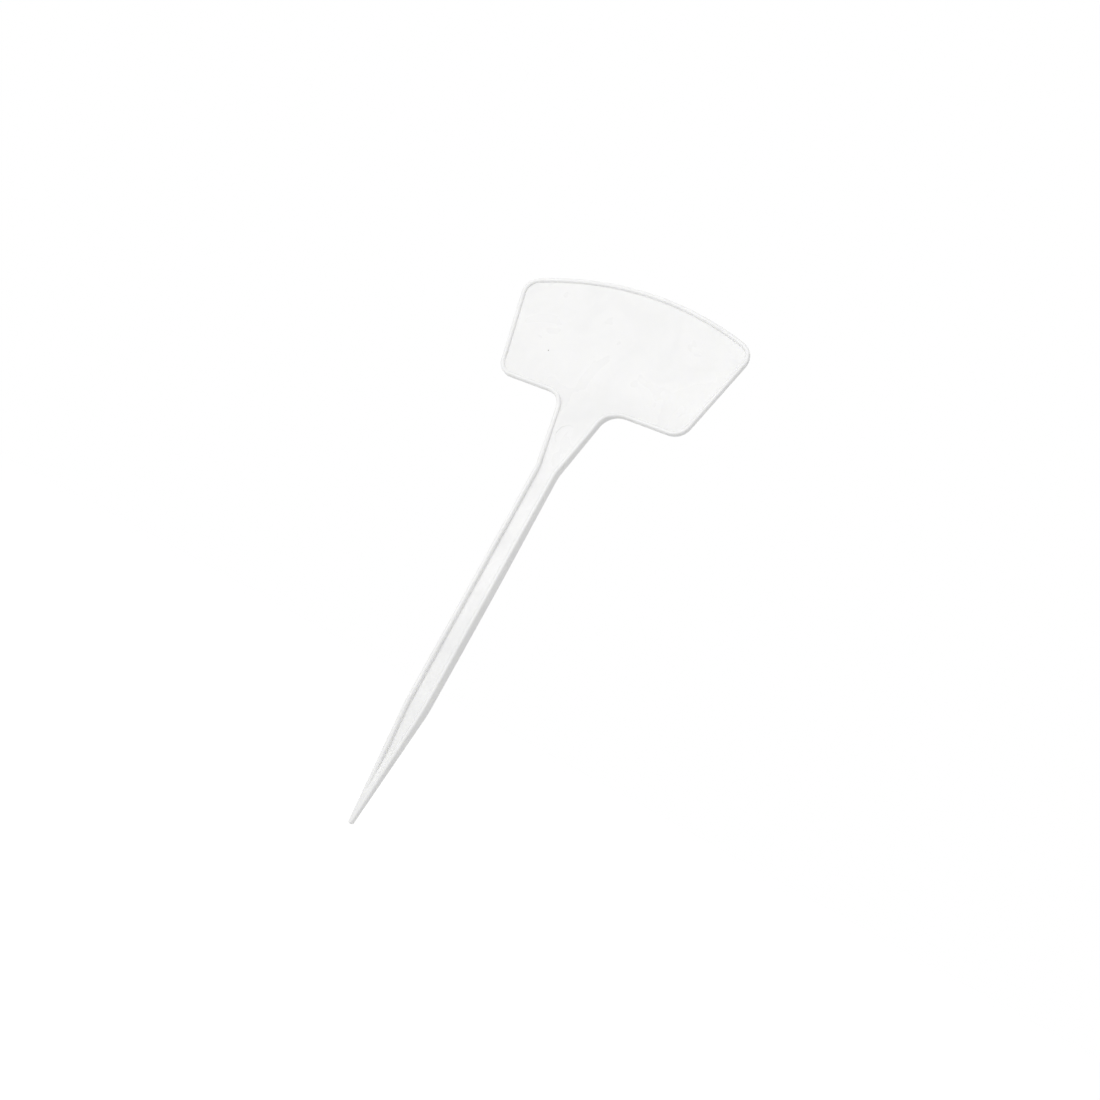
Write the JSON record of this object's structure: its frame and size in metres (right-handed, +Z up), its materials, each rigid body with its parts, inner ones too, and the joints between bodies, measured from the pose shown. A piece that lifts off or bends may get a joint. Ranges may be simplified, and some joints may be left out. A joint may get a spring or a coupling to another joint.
{
  "type": "plant label stake",
  "caption": "One-piece plastic plant label: a fan-shaped writing panel with a raised rounded rim on a channelled stake that ends in a pointed spike.",
  "frame": {"origin": "the end of the spike's tip, midway through its thickness and on the stake's centre line", "axes": "+Z up the stake from the tip to the panel's top, +X across its width, -Y out of the recessed front face"},
  "size_m": [0.1108, 0.0056, 0.25],
  "materials": {
    "white_plastic": "satin white polypropylene with a fine moulded surface, light handling scuffs"
  },
  "bodies": {
    "root": {"label_stake": "white_plastic"}
  },
  "joints": []
}
